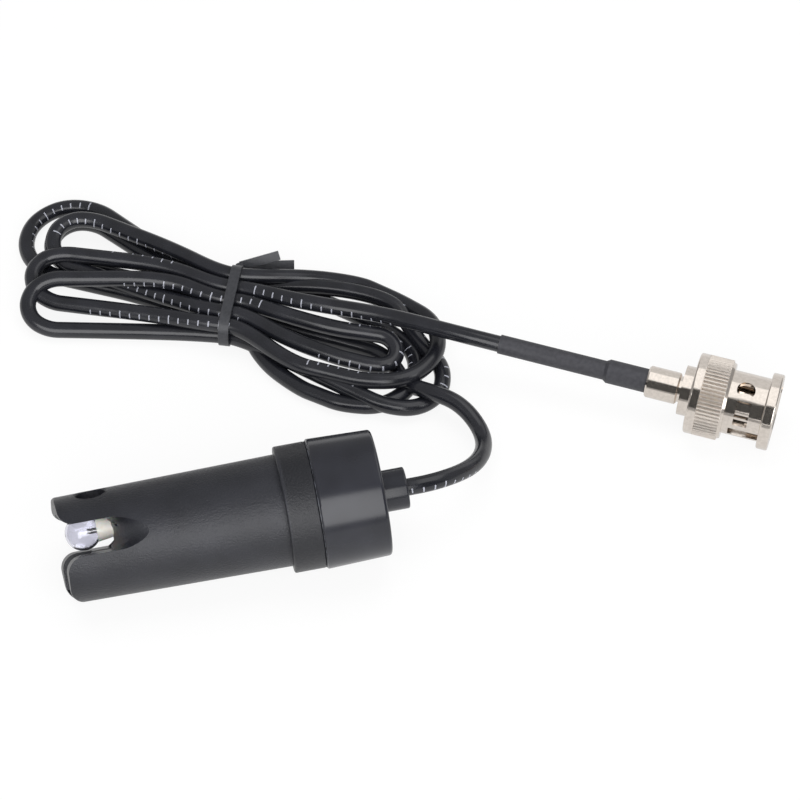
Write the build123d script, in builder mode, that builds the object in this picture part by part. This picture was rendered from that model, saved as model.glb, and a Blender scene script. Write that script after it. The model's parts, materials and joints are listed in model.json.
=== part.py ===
from build123d import *
from math import asin, atan2, cos, pi, radians, sin, sqrt, tan
import os

# pH electrode lying on its side, with its cable tied in a hank and a bayonet plug at the far end.
# Millimetres. +Z is up, the table is z = 0 and the electrode's axis lies over the X axis, tip at -X.
# The origin is the middle of the electrode's footprint.
# Lengths called "at" are distances along the electrode from the near rim of its tip,
# or along the plug from the back of its ferrule.

os.makedirs("parts", exist_ok=True)

overrun = 2.0  # how far every cutter runs past what it cuts
edge_round = 0.35  # the small round on moulded edges

# Guard body: tapered tube, collar, two prongs round the bulb. Its diameters go back to the collar's.
collar_diameter = 23.4
collar_height = 1.35
body_taper = 1.1  # how much thinner the tip is than the body's rear end
body_rear_diameter = collar_diameter - 2 * collar_height
tip_diameter = body_rear_diameter - body_taper
collar_at = 40.0
collar_length = 5.9
tip_lean = 5.6  # degrees; the far side of the tip reaches further
slot_width = 6.0
slot_centre = 1.9
slot_end_at = 15.8
nose_at = 8.8
lower_prong_round = 3.0
upper_prong_round = 2.4
upper_prong_edge_round = 0.8
fork_width = 8.6  # groove in the end of the lower prong
fork_wall = 1.2
fork_floor_at = 4.4
port_diameter = 5.6  # round port in the upper prong
port_at = 6.1
port_turn = 78.0  # degrees round from the slot's direction
port_countersink = 0.4
slot_elevation = 51.0  # degrees; how far up the slot looks

# Inside of the body
seat_wall = 1.4
seat_depth = 4.3  # from the collar's front face to the partition's seat
seat_ledge = 0.7
seat_diameter = body_rear_diameter - 2 * seat_wall
reservoir_diameter = seat_diameter - 2 * seat_ledge
reservoir_at = 20.0
seat_at = collar_at - seat_depth

# Glass electrode, set off the body's axis
glass_offset = 2.6
bulb_diameter = 6.6
bulb_at = 3.5
bulb_wall = 0.35
tube_diameter = 3.0
tube_wall = 0.45
tube_past_seat = 5.5
chamber_diameter = 8.2
seal_front_diameter = 4.3
seal_rear_diameter = 3.5
seal_length = 9.0
seal_gap = 0.04
gel_gap = 0.03
tube_end_at = seat_at + tube_past_seat

# Wires, stopper, partition and potting
wire_diameter = 0.7
wire_tip_step = 0.6  # from the bulb's middle to the wire's tip
wire_past_tube = 3.5
wire_gap = 0.03
buffer_space = 7.5  # air between the buffer and the tube's end
stopper_length = 2.0
stopper_head = 1.0
reference_offset = 4.0
reference_tip_at = 23.0
junction_diameter = 1.0
junction_across = 3.4
junction_out = 4.8
junction_recess = 0.15
gel_space = 3.0  # air between the gel and the partition
partition_thickness = 3.2
ring_section = 1.16
ring_gap = 0.02
potting_length = 3.7
fill_gap = 0.05
wire_tip_at = bulb_at + wire_tip_step
wire_end_at = tube_end_at + wire_past_tube
buffer_end_at = tube_end_at - buffer_space
stopper_front_at = tube_end_at - stopper_length
gel_end_at = seat_at - gel_space
potting_end_at = seat_at + partition_thickness + potting_length

# Rear cap with its cable boss
glue_line = 0.12
cap_step = 0.7  # how much wider the cap is than the collar
cap_taper = 0.8
cap_open_diameter = collar_diameter + cap_step
cap_rear_diameter = cap_open_diameter - cap_taper
cap_end_at = 58.1
cap_wall = 2.2
cap_end_wall = 2.0
spigot_length = 3.2
spigot_wall = 1.5
boss_diameter = 7.7
boss_length = 4.8
cap_rim_round = 0.6

# Cable and what holds it
cable_diameter = 3.0
cable_gap = 0.05
cable_in_cap = 8.5  # from the cap's end to the cable's end inside it
clamp_diameter = 5.2
clamp_length = 2.6
lead_diameter = 0.8
cable_start_at = cap_end_at - cable_in_cap

# Coupling sleeve of the plug. Its diameters go back to the barrel's.
barrel_diameter = 12.2
barrel_wall = 1.2
barrel_step = 0.35
grip_height = 1.65
grip_plain = 1.9
grip_round = 0.45
grip_lip = 0.6  # plain ring in front of the knurl
grip_lip_slope = 0.3
knurl_length = 4.5
knurl_depth = 0.27
knurl_teeth = 66
front_ring_height = 1.25
front_ring_length = 2.2
front_ring_round = 0.35
sleeve_gap = 0.05
sleeve_flange = 1.5
sleeve_end_at = 25.0
sleeve_bore = barrel_diameter - 2 * barrel_wall
grip_diameter = barrel_diameter + 2 * grip_height
front_ring_diameter = barrel_diameter + 2 * front_ring_height

# Plug: places along it are from the back of the ferrule
ferrule_diameter = 6.1
ferrule_wall = 0.6
ferrule_length = 6.2
stem_at = 1.8
stem_gap = 0.03
neck_diameter = 5.0
shoulder_at = 6.8
shoulder_step = 0.45
shoulder_length = 1.9
journal_space = 0.6  # between the journal and the sleeve's bore
journal_length = 4.4
groove_at = 12.05
groove_width = 0.6
groove_depth = 0.4
contact_step = 0.25
contact_wall = 0.5
contact_end_at = 23.0
contact_slot = 0.5
contact_slot_length = 6.0
insulator_step = 0.45
insulator_at = 9.0
insulator_end_at = 15.6
pin_diameter = 1.35
pin_end_at = 22.2
pin_point = 1.0
pin_pot_diameter = 1.8
pin_pot_at = 7.6
pin_pot_length = 3.4
core_diameter = 1.8
ferrule_bore = ferrule_diameter - 2 * ferrule_wall
journal_diameter = sleeve_bore - 2 * journal_space
shoulder_diameter = journal_diameter + 2 * shoulder_step
contact_diameter = journal_diameter - 2 * contact_step
contact_bore = contact_diameter - 2 * contact_wall
insulator_diameter = contact_bore - 2 * insulator_step

# Bayonet ways in the sleeve, and what lies between sleeve and plug body
lock_hole_diameter = 3.5
lock_hole_at = 18.75
lock_hole_roll = 11.0  # degrees; the upper lock hole leans this far from upright, to the viewer
ramp_turn = 90.0  # degrees from lock hole to entry window
ramp_depth = 0.45
ramp_width = 2.2
window_at = 17.65  # window of the ramp through the barrel's wall
window_width = 2.7
window_start = 22.0  # degrees from the lock hole
window_turn = 47.0  # degrees
entry_width = 2.2
entry_at = 17.0
entry_skin = 0.1
washer_thickness = 0.4
spring_waves = 3
spring_strip = 0.45
spring_thickness = 0.22
spring_steps = 24
spring_gap = 8.0  # degrees
retaining_gap = 20.0  # degrees
part_gap = 0.04
gasket_thickness = 0.8
gasket_rim = 0.5

# Heat-shrink sleeve on the cable
shrink_rear_diameter = 3.7
shrink_front_diameter = 4.6
shrink_length = 29.0
shrink_step_from_plug = 7.6
shrink_step_run = 0.7
shrink_grip = 1.5  # how far it reaches into the ferrule

# Where the plug lies
plug_rear_x = 82.3
plug_rear_y = 19.1
plug_turn = -27.1  # degrees about Z

# Cable's way and its hank, a flat bundle pinched at its tie
cable_lead_out = 6.7  # straight length out of the cap's boss
plug_straight = 38.0  # straight length behind the plug
lobe_height = 6.1
lobe_round = 2.4
outline_round = 5.0
waist_low = 0.8
waist_width = 16.6
waist_height = 6.4
waist_round = 3.0
waist_length = 11.0
tie_x = 8.3
tie_y = 56.1
tie_turn = -19.4  # degrees about Z, along the bundle
tie_window = 3.0
tie_width = 2.0
tie_thickness = 0.7
tie_twist_diameter = 2.0
tie_twist_length = 1.5
tail_width = 1.8
tail_thickness = 0.5

# Electrode axis. It touches the table under the tip's far blade and under the cap's open rim.
cap_at = collar_at + collar_length + glue_line
tip_reach = tan(radians(tip_lean)) * tip_diameter / 2
tip_rest_at = tip_reach * (1 + sin(radians(slot_elevation)))
tip_rest_radius = (tip_diameter - (body_rear_diameter - tip_diameter) * tip_rest_at / collar_at) / 2
electrode_tilt = asin((cap_open_diameter / 2 - tip_rest_radius) / (cap_at + edge_round + tip_rest_at))
tip_height = tip_rest_radius * cos(electrode_tilt) + tip_rest_at * sin(electrode_tilt)
electrode_end_at = cap_end_at + boss_length
rim_shift = boss_diameter / 2 + tip_diameter / 2 * sin(radians(slot_elevation))
tip_x = -((electrode_end_at - 2 * tip_reach) * cos(electrode_tilt) + rim_shift * sin(electrode_tilt)) / 2

lift = Vector(-sin(electrode_tilt), 0, cos(electrode_tilt))
across = Vector(0, 1, 0) * sin(radians(slot_elevation)) + lift * cos(radians(slot_elevation))
electrode = Plane(
    origin=(tip_x, 0, tip_height),
    x_dir=across,
    z_dir=(cos(electrode_tilt), 0, sin(electrode_tilt)),
)
electrode_axis = Axis(electrode.origin, electrode.z_dir)
# Seen through the slot: X runs along the electrode and Y across the slot.
lengthwise = Plane(origin=electrode.origin, x_dir=electrode.z_dir, z_dir=electrode.y_dir)


def body_radius(at):
    return (tip_diameter + (body_rear_diameter - tip_diameter) * at / collar_at) / 2


def on_electrode(across_by, out_by, at):
    """The point on the electrode at a place across the slot, out of the slot and along the axis."""
    return electrode.origin + electrode.x_dir * across_by + electrode.y_dir * out_by + electrode.z_dir * at


def sideways(plane, shift):
    """The plane moved by shift along its Y."""
    return Plane(origin=plane.origin + plane.y_dir * shift, x_dir=plane.x_dir, z_dir=plane.z_dir)


# Guard body
slot_low = slot_centre - slot_width / 2
slot_high = slot_centre + slot_width / 2
collar_end_at = collar_at + collar_length
slot_depth = slot_end_at - nose_at
saddle_radius = (body_radius(slot_end_at) ** 2 + slot_depth**2) / (2 * slot_depth)
saddle = electrode.offset(nose_at + saddle_radius)
lean = radians(tip_lean)
lean_normal = electrode.y_dir * cos(lean) + electrode.z_dir * sin(lean)
leaning = Plane(
    origin=on_electrode(0, 0, -tip_reach),
    x_dir=electrode.z_dir * cos(lean) - electrode.y_dir * sin(lean),
    z_dir=lean_normal,
)
prong_edge = body_radius(lower_prong_round)
wide = collar_diameter

with BuildPart() as guard_body:
    with BuildSketch(lengthwise):
        with BuildLine():
            Polyline(
                (-2 * tip_reach - overrun, 0),
                (-2 * tip_reach - overrun, body_radius(-2 * tip_reach - overrun)),
                (collar_at, body_rear_diameter / 2),
                (collar_at, collar_diameter / 2),
                (collar_end_at, collar_diameter / 2),
                (collar_end_at, 0),
                close=True,
            )
        make_face()
    revolve(axis=electrode_axis)
    collar_edges = guard_body.edges().filter_by(GeomType.CIRCLE).sort_by(SortBy.RADIUS)[-2:]
    fillet(collar_edges, edge_round)
    with BuildSketch(leaning) as prongs:
        with BuildLine():
            Polyline(
                (0, -prong_edge),
                (0, slot_low),
                (nose_at, slot_low),
                (nose_at, slot_high),
                (0, slot_high),
                (0, prong_edge),
                (lower_prong_round, prong_edge),
                (lower_prong_round, wide),
                (electrode_end_at, wide),
                (electrode_end_at, -wide),
                (lower_prong_round, -wide),
                (lower_prong_round, -prong_edge),
                close=True,
            )
        make_face()
        corners = prongs.vertices().group_by(Axis.X)[0].sort_by(Axis.Y)
        fillet(corners[0:2], lower_prong_round * 0.999)
        corners = prongs.vertices().group_by(Axis.X)[0].sort_by(Axis.Y)
        fillet(corners[-2], upper_prong_round)
        corners = prongs.vertices().group_by(Axis.X)[0].sort_by(Axis.Y)
        fillet(corners[-1], upper_prong_edge_round)
    extrude(amount=wide, both=True, mode=Mode.INTERSECT)
    # The slot: a round-bottomed channel carried round an axis behind the nose
    with BuildSketch(saddle):
        with Locations((slot_centre, saddle_radius + slot_width / 2)):
            Circle(slot_width / 2)
        with Locations((slot_centre, saddle_radius + slot_width / 2)):
            Rectangle(slot_width, nose_at + 2 * tip_reach + 2 * overrun, align=(Align.CENTER, Align.MIN))
    revolve(axis=Axis(saddle.origin, saddle.x_dir * -1), revolution_arc=180, mode=Mode.SUBTRACT)
    # Chamber round the bulb and the bore for its seal
    with BuildSketch(electrode.offset(nose_at)):
        with Locations((glass_offset, 0)):
            Circle(chamber_diameter / 2)
    extrude(amount=-nose_at - 2 * tip_reach - 2 * overrun, mode=Mode.SUBTRACT)
    with BuildSketch(electrode.offset(nose_at - overrun)):
        with Locations((glass_offset, 0)):
            Circle(seal_front_diameter / 2 + seal_gap)
        with Locations((junction_across, junction_out)):
            Circle(junction_diameter / 2)
    extrude(amount=reservoir_at - nose_at + 2 * overrun, mode=Mode.SUBTRACT)
    # Fork in the end of the lower prong
    with BuildSketch(electrode.offset(fork_floor_at)):
        Circle(tip_diameter / 2 - fork_wall)
        with Locations((slot_centre, 0)):
            Rectangle(tip_diameter, fork_width, align=(Align.MAX, Align.CENTER), mode=Mode.INTERSECT)
    extrude(amount=-fork_floor_at - 2 * tip_reach - 2 * overrun, mode=Mode.SUBTRACT)
    # Reservoir and the seat for the partition
    with BuildSketch(electrode.offset(reservoir_at)):
        Circle(reservoir_diameter / 2)
    extrude(amount=collar_end_at - reservoir_at + overrun, mode=Mode.SUBTRACT)
    with BuildSketch(electrode.offset(seat_at)):
        Circle(seat_diameter / 2)
    extrude(amount=collar_end_at - seat_at + overrun, mode=Mode.SUBTRACT)
    # Round port in the upper prong
    port_out = electrode.y_dir * cos(radians(port_turn)) + electrode.x_dir * sin(radians(port_turn))
    port_mouth = electrode.origin + electrode.z_dir * port_at + port_out * body_radius(port_at)
    with Locations(Plane(origin=port_mouth, x_dir=electrode.z_dir, z_dir=port_out)):
        CounterSinkHole(
            radius=port_diameter / 2,
            counter_sink_radius=port_diameter / 2 + port_countersink,
            depth=body_radius(port_at) - slot_centre,
        )
guard_body.part.label = "guard_body"

# Reference junction: a porous pin from the nose to the reservoir
junction_front_at = nose_at + saddle_radius - sqrt(saddle_radius**2 - junction_out**2) + junction_recess
with BuildPart() as reference_junction:
    with BuildSketch(electrode.offset(junction_front_at)):
        with Locations((junction_across, junction_out)):
            Circle(junction_diameter / 2)
    extrude(amount=reservoir_at - junction_front_at)
reference_junction.part.label = "reference_junction"

# Glass electrode: bulb and tube blown as one piece
glass_side = sideways(lengthwise, glass_offset)
glass_axis = Axis(glass_side.origin, glass_side.x_dir)
bulb_radius = bulb_diameter / 2
bulb_inner = bulb_radius - bulb_wall
tube_radius = tube_diameter / 2
tube_inner = tube_radius - tube_wall
neck_at = bulb_at + sqrt(bulb_radius**2 - tube_radius**2)
inner_neck_at = bulb_at + sqrt(bulb_inner**2 - tube_inner**2)

with BuildPart() as glass_bulb:
    with BuildSketch(glass_side):
        with BuildLine():
            ThreePointArc((bulb_at - bulb_radius, 0), (bulb_at, bulb_radius), (neck_at, tube_radius))
            Line((neck_at, tube_radius), (tube_end_at, tube_radius))
            Line((tube_end_at, tube_radius), (tube_end_at, tube_inner))
            Line((tube_end_at, tube_inner), (inner_neck_at, tube_inner))
            ThreePointArc((inner_neck_at, tube_inner), (bulb_at, bulb_inner), (bulb_at - bulb_inner, 0))
            Line((bulb_at - bulb_inner, 0), (bulb_at - bulb_radius, 0))
        make_face()
    revolve(axis=glass_axis)
glass_bulb.part.label = "glass_bulb"

# Seal sleeve between the tube and the nose, narrower where it enters the nose
seal_front_radius = seal_front_diameter / 2
seal_touch = bulb_radius + seal_gap
seal_front_at = bulb_at + sqrt(seal_touch**2 - seal_front_radius**2)
seal_foot_at = bulb_at + sqrt(seal_touch**2 - tube_radius**2)
seal_middle_radius = (seal_front_radius + tube_radius) / 2
seal_middle_at = bulb_at + sqrt(seal_touch**2 - seal_middle_radius**2)
with BuildPart() as seal_sleeve:
    with BuildSketch(glass_side):
        with BuildLine():
            ThreePointArc(
                (seal_foot_at, tube_radius),
                (seal_middle_at, seal_middle_radius),
                (seal_front_at, seal_front_radius),
            )
            Polyline(
                (seal_front_at, seal_front_radius),
                (nose_at, seal_rear_diameter / 2),
                (nose_at, seal_front_radius),
                (nose_at + seal_length, seal_front_radius),
                (nose_at + seal_length, tube_radius),
                (seal_foot_at, tube_radius),
            )
        make_face()
    revolve(axis=glass_axis)
seal_sleeve.part.label = "seal_sleeve"

# Gelled buffer inside the glass, round the inner wire
wire_clear = wire_diameter / 2 + wire_gap
gel_bulb = bulb_inner - gel_gap
gel_tube = tube_inner - gel_gap
gel_neck_at = bulb_at + sqrt(gel_bulb**2 - gel_tube**2)
with BuildPart() as buffer_gel:
    with BuildSketch(glass_side):
        with BuildLine():
            ThreePointArc((bulb_at - gel_bulb, 0), (bulb_at, gel_bulb), (gel_neck_at, gel_tube))
            Polyline(
                (gel_neck_at, gel_tube),
                (buffer_end_at, gel_tube),
                (buffer_end_at, wire_clear),
                (wire_tip_at - wire_gap, wire_clear),
                (wire_tip_at - wire_gap, 0),
                (bulb_at - gel_bulb, 0),
            )
        make_face()
    revolve(axis=glass_axis)
buffer_gel.part.label = "buffer_gel"

with BuildPart() as inner_wire:
    with BuildSketch(electrode.offset(wire_tip_at)):
        with Locations((glass_offset, 0)):
            Circle(wire_diameter / 2)
    extrude(amount=wire_end_at - wire_tip_at)
inner_wire.part.label = "inner_wire"

# Stopper in the back of the glass tube
with BuildPart() as tube_stopper:
    with BuildSketch(glass_side):
        with BuildLine():
            Polyline(
                (stopper_front_at, wire_clear),
                (stopper_front_at, gel_tube),
                (tube_end_at, gel_tube),
                (tube_end_at, tube_radius),
                (tube_end_at + stopper_head, tube_radius),
                (tube_end_at + stopper_head, wire_clear),
                close=True,
            )
        make_face()
    revolve(axis=glass_axis)
tube_stopper.part.label = "tube_stopper"

# Reference gel round the glass tube and the reference wire
with BuildPart() as reference_gel:
    with BuildSketch(electrode.offset(reservoir_at + fill_gap)):
        Circle(reservoir_diameter / 2 - fill_gap)
        with Locations((glass_offset, 0)):
            Circle(tube_radius + fill_gap, mode=Mode.SUBTRACT)
    extrude(amount=gel_end_at - reservoir_at)
    with BuildSketch(electrode.offset(reference_tip_at - wire_gap)):
        with Locations((-reference_offset, 0)):
            Circle(wire_clear)
    extrude(amount=gel_end_at - reference_tip_at + overrun, mode=Mode.SUBTRACT)
reference_gel.part.label = "reference_gel"

with BuildPart() as reference_wire:
    with BuildSketch(electrode.offset(reference_tip_at)):
        with Locations((-reference_offset, 0)):
            Circle(wire_diameter / 2)
    extrude(amount=wire_end_at - reference_tip_at)
reference_wire.part.label = "reference_wire"

# Partition disc on its seat, with a sealing ring in its rim
seat_radius = seat_diameter / 2
rim_radius = seat_radius - fill_gap
ring_centre = seat_radius - ring_section / 2 - ring_gap
partition_end_at = seat_at + partition_thickness
with BuildPart() as partition_disc:
    with BuildSketch(electrode.offset(seat_at)):
        Circle(rim_radius)
        with Locations((glass_offset, 0)):
            Circle(tube_radius + wire_gap, mode=Mode.SUBTRACT)
        with Locations((-reference_offset, 0)):
            Circle(wire_clear, mode=Mode.SUBTRACT)
    extrude(amount=partition_thickness)
    with BuildSketch(electrode.offset(seat_at + partition_thickness / 2 - ring_section / 2 - ring_gap)):
        Circle(seat_radius + overrun)
        Circle(ring_centre - ring_section / 2 - ring_gap, mode=Mode.SUBTRACT)
    extrude(amount=ring_section + 2 * ring_gap, mode=Mode.SUBTRACT)
partition_disc.part.label = "partition_disc"

with BuildPart() as partition_ring:
    with BuildSketch(lengthwise):
        with Locations((seat_at + partition_thickness / 2, ring_centre)):
            Circle(ring_section / 2)
    revolve(axis=electrode_axis)
partition_ring.part.label = "partition_ring"

# Potting behind the partition
with BuildPart() as potting:
    with BuildSketch(electrode.offset(partition_end_at)):
        Circle(rim_radius)
        with Locations((-reference_offset, 0)):
            Circle(wire_clear, mode=Mode.SUBTRACT)
    extrude(amount=potting_end_at - partition_end_at)
    with BuildSketch(electrode.offset(partition_end_at)):
        with Locations((glass_offset, 0)):
            Circle(tube_radius + wire_gap)
    extrude(amount=tube_end_at + stopper_head - partition_end_at, mode=Mode.SUBTRACT)
    with BuildSketch(electrode.offset(partition_end_at)):
        with Locations((glass_offset, 0)):
            Circle(wire_clear)
    extrude(amount=potting_end_at - partition_end_at + overrun, mode=Mode.SUBTRACT)
potting.part.label = "potting"

# Rear cap, its spigot in the body and its cable boss
spigot_radius = seat_radius - fill_gap
cable_radius = cable_diameter / 2
with BuildPart() as rear_cap:
    with BuildSketch(lengthwise):
        with BuildLine():
            Polyline(
                (cap_at, spigot_radius),
                (cap_at, cap_open_diameter / 2),
                (cap_end_at, cap_rear_diameter / 2),
                (cap_end_at, boss_diameter / 2),
                (electrode_end_at, boss_diameter / 2),
                (electrode_end_at, cable_radius + cable_gap),
                (cap_end_at - cap_end_wall, cable_radius + cable_gap),
                (cap_end_at - cap_end_wall, cap_rear_diameter / 2 - cap_wall),
                (cap_at + cap_wall, cap_rear_diameter / 2 - cap_wall),
                (cap_at + cap_wall, spigot_radius - spigot_wall),
                (cap_at - spigot_length, spigot_radius - spigot_wall),
                (cap_at - spigot_length, spigot_radius),
                close=True,
            )
        make_face()
    revolve(axis=electrode_axis)
    round_edges = rear_cap.edges().filter_by(GeomType.CIRCLE)
    fillet([e for e in round_edges if abs(e.radius - cap_rear_diameter / 2) < edge_round], cap_rim_round)
    round_edges = rear_cap.edges().filter_by(GeomType.CIRCLE)
    fillet([e for e in round_edges if abs(e.radius - cap_open_diameter / 2) < part_gap], edge_round)
    round_edges = rear_cap.edges().filter_by(GeomType.CIRCLE)
    boss_edges = round_edges.filter_by(lambda e: abs(e.radius - boss_diameter / 2) < part_gap)
    fillet(boss_edges.sort_by(Axis.X)[-1], edge_round)
rear_cap.part.label = "rear_cap"

# Line of glue between collar and cap
with BuildPart() as glue_bead:
    with BuildSketch(electrode.offset(collar_end_at)):
        Circle(collar_diameter / 2 + part_gap)
        Circle(spigot_radius, mode=Mode.SUBTRACT)
    extrude(amount=glue_line)
glue_bead.part.label = "glue_bead"

# Crimped ring that stops the cable being pulled out
with BuildPart() as cable_clamp:
    with BuildSketch(electrode.offset(cap_end_at - cap_end_wall)):
        Circle(clamp_diameter / 2)
        Circle(cable_radius, mode=Mode.SUBTRACT)
    extrude(amount=-clamp_length)
cable_clamp.part.label = "cable_clamp"


def tangent_radii(points, share=0.45):
    """One arc radius for each corner of a route, as large as its two runs allow."""
    radii = []
    for before, here, after in zip(points, points[1:], points[2:]):
        turn = radians((here - before).get_angle(after - here))
        shorter = min((here - before).length, (after - here).length)
        radii.append(share * shorter / tan(turn / 2))
    return radii


def tube_along(points, diameter):
    """A round tube of straight runs joined by tangent arcs."""
    radii = tangent_radii(points)
    with BuildPart() as tube:
        with BuildLine() as path:
            FilletPolyline(*points, radius=radii)
        with BuildSketch(Plane(origin=points[0], z_dir=points[1] - points[0])):
            Circle(diameter / 2)
        sweep(path=path.line)
    length = sum(edge.length for edge in path.line.edges())
    section = pi * diameter**2 / 4
    print("bend radii", [round(r, 1) for r in radii], "length", round(length, 1))
    print("length from the volume", round(tube.part.volume / section, 1))
    return tube


# Leads from the cable's end to the two wires
core_lead = tube_along(
    [
        on_electrode(lead_diameter / 2, 0, cable_start_at),
        on_electrode(lead_diameter / 2, 0, cable_start_at - lead_diameter),
        on_electrode(glass_offset, 0, wire_end_at + lead_diameter),
        on_electrode(glass_offset, 0, wire_end_at),
    ],
    lead_diameter,
)
core_lead.part.label = "core_lead"
braid_lead = tube_along(
    [
        on_electrode(-lead_diameter, 0, cable_start_at),
        on_electrode(-lead_diameter, 0, cable_start_at - lead_diameter),
        on_electrode(-reference_offset, 0, wire_end_at + lead_diameter),
        on_electrode(-reference_offset, 0, wire_end_at),
    ],
    lead_diameter,
)
braid_lead.part.label = "braid_lead"

# Plug. It lies on its knurl and its front ring, so its axis dips to the front.
sleeve_at = shoulder_at + shoulder_length + sleeve_gap
knurl_at = sleeve_at + grip_plain
knurl_end_at = knurl_at + knurl_length
plug_dip = atan2((grip_diameter - front_ring_diameter) / 2, sleeve_end_at - knurl_end_at)
plug_height = grip_diameter / 2 * cos(plug_dip) + knurl_end_at * sin(plug_dip)
turn = radians(plug_turn)
plug_out = Vector(cos(turn) * cos(plug_dip), sin(turn) * cos(plug_dip), -sin(plug_dip))
plug_side = Vector(-sin(turn), cos(turn), 0)
plug = Plane(origin=(plug_rear_x, plug_rear_y, plug_height), x_dir=plug_side, z_dir=plug_out)
plug_axis = Axis(plug.origin, plug.z_dir)
plug_lengthwise = Plane(origin=plug.origin, x_dir=plug.z_dir, z_dir=plug.x_dir)

core_radius = core_diameter / 2
stem_radius = ferrule_bore / 2 - stem_gap
journal_radius = journal_diameter / 2
journal_end_at = shoulder_at + shoulder_length + journal_length
contact_radius = contact_diameter / 2
insulator_radius = insulator_diameter / 2
with BuildPart() as plug_body:
    with BuildSketch(plug_lengthwise):
        with BuildLine():
            Polyline(
                (stem_at, core_radius + part_gap),
                (stem_at, stem_radius),
                (ferrule_length, stem_radius),
                (ferrule_length, neck_diameter / 2),
                (shoulder_at, neck_diameter / 2),
                (shoulder_at, shoulder_diameter / 2),
                (shoulder_at + shoulder_length, shoulder_diameter / 2),
                (shoulder_at + shoulder_length, journal_radius),
                (groove_at, journal_radius),
                (groove_at, journal_radius - groove_depth),
                (groove_at + groove_width, journal_radius - groove_depth),
                (groove_at + groove_width, journal_radius),
                (journal_end_at, journal_radius),
                (journal_end_at, insulator_radius + part_gap),
                (insulator_at, insulator_radius + part_gap),
                (insulator_at, core_radius + part_gap),
                close=True,
            )
        make_face()
    revolve(axis=plug_axis)
    with BuildSketch(plug.offset(journal_end_at)):
        Circle(contact_bore / 2)
    extrude(amount=-gasket_thickness, mode=Mode.SUBTRACT)
plug_body.part.label = "plug_body"

# Inner core of the cable, from the end of its jacket to the centre pin
with BuildPart() as cable_core:
    with BuildSketch(plug.offset(stem_at)):
        Circle(core_radius)
    extrude(amount=pin_pot_at - stem_at)
cable_core.part.label = "cable_core"

with BuildPart() as crimp_ferrule:
    with BuildSketch(plug):
        Circle(ferrule_diameter / 2)
        Circle(ferrule_bore / 2, mode=Mode.SUBTRACT)
    extrude(amount=ferrule_length)
    ends = crimp_ferrule.edges().filter_by(GeomType.CIRCLE).sort_by(SortBy.RADIUS)[-2:]
    chamfer(ends, (ferrule_diameter - ferrule_bore) / 4)
crimp_ferrule.part.label = "crimp_ferrule"

# Outer contact with spring fingers
with BuildPart() as outer_contact:
    with BuildSketch(plug.offset(journal_end_at)):
        Circle(contact_radius)
        Circle(contact_bore / 2, mode=Mode.SUBTRACT)
    extrude(amount=contact_end_at - journal_end_at)
    with BuildSketch(plug.offset(contact_end_at - contact_slot_length)):
        Rectangle(contact_diameter + overrun, contact_slot)
        Rectangle(contact_slot, contact_diameter + overrun)
    extrude(amount=contact_slot_length + overrun, mode=Mode.SUBTRACT)
outer_contact.part.label = "outer_contact"

with BuildPart() as plug_insulator:
    with BuildSketch(plug.offset(insulator_at + part_gap)):
        Circle(insulator_radius)
        Circle(pin_diameter / 2, mode=Mode.SUBTRACT)
    extrude(amount=insulator_end_at - insulator_at)
    with BuildSketch(plug.offset(insulator_at)):
        Circle(pin_pot_diameter / 2)
    extrude(amount=pin_pot_at + pin_pot_length - insulator_at, mode=Mode.SUBTRACT)
plug_insulator.part.label = "plug_insulator"

with BuildPart() as centre_pin:
    with BuildSketch(plug_lengthwise):
        with BuildLine():
            Polyline(
                (pin_pot_at, 0),
                (pin_pot_at, pin_pot_diameter / 2),
                (pin_pot_at + pin_pot_length, pin_pot_diameter / 2),
                (pin_pot_at + pin_pot_length, pin_diameter / 2),
                (pin_end_at - pin_point, pin_diameter / 2),
                (pin_end_at, pin_diameter / 6),
                (pin_end_at, 0),
                close=True,
            )
        make_face()
    revolve(axis=plug_axis)
centre_pin.part.label = "centre_pin"

with BuildPart() as mating_gasket:
    with BuildSketch(plug.offset(journal_end_at)):
        Circle(contact_radius + gasket_rim)
        Circle(contact_radius, mode=Mode.SUBTRACT)
    extrude(amount=gasket_thickness)
mating_gasket.part.label = "mating_gasket"

# Retaining ring in the journal's groove, open over a small gap
sleeve_radius = sleeve_bore / 2
ring_radius = sleeve_radius - 2 * part_gap
with BuildPart() as retaining_ring:
    with BuildSketch(Plane(origin=plug_axis.position, x_dir=plug.z_dir, z_dir=plug.x_dir)):
        with Locations((groove_at + groove_width / 2, (journal_radius - groove_depth + ring_radius) / 2)):
            Rectangle(groove_width - 2 * part_gap, ring_radius - journal_radius + groove_depth - part_gap)
    revolve(axis=plug_axis, revolution_arc=360 - retaining_gap)
retaining_ring.part.label = "retaining_ring"

# Thrust washer in front of the sleeve's flange
flange_end_at = sleeve_at + sleeve_flange
with BuildPart() as thrust_washer:
    with BuildSketch(plug.offset(flange_end_at + part_gap)):
        Circle(ring_radius)
        Circle(journal_radius + part_gap, mode=Mode.SUBTRACT)
    extrude(amount=washer_thickness)
thrust_washer.part.label = "thrust_washer"

# Wave spring between washer and retaining ring, open over a small gap
spring_at = flange_end_at + part_gap + washer_thickness
spring_radius = (ring_radius + journal_radius + part_gap) / 2
spring_swing = (groove_at - spring_at - spring_thickness) / 2 - part_gap
with BuildPart() as wave_spring:
    for step in range(spring_steps + 1):
        around = (360 - spring_gap) * step / spring_steps
        radial = plug.x_dir * cos(radians(around)) + plug.y_dir * sin(radians(around))
        wave_at = (spring_at + groove_at) / 2 + spring_swing * cos(radians(spring_waves * around))
        centre = plug.origin + radial * spring_radius + plug.z_dir * wave_at
        with BuildSketch(Plane(origin=centre, x_dir=radial, z_dir=plug.z_dir.cross(radial))):
            Rectangle(spring_strip, spring_thickness)
    loft()
wave_spring.part.label = "wave_spring"

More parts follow.
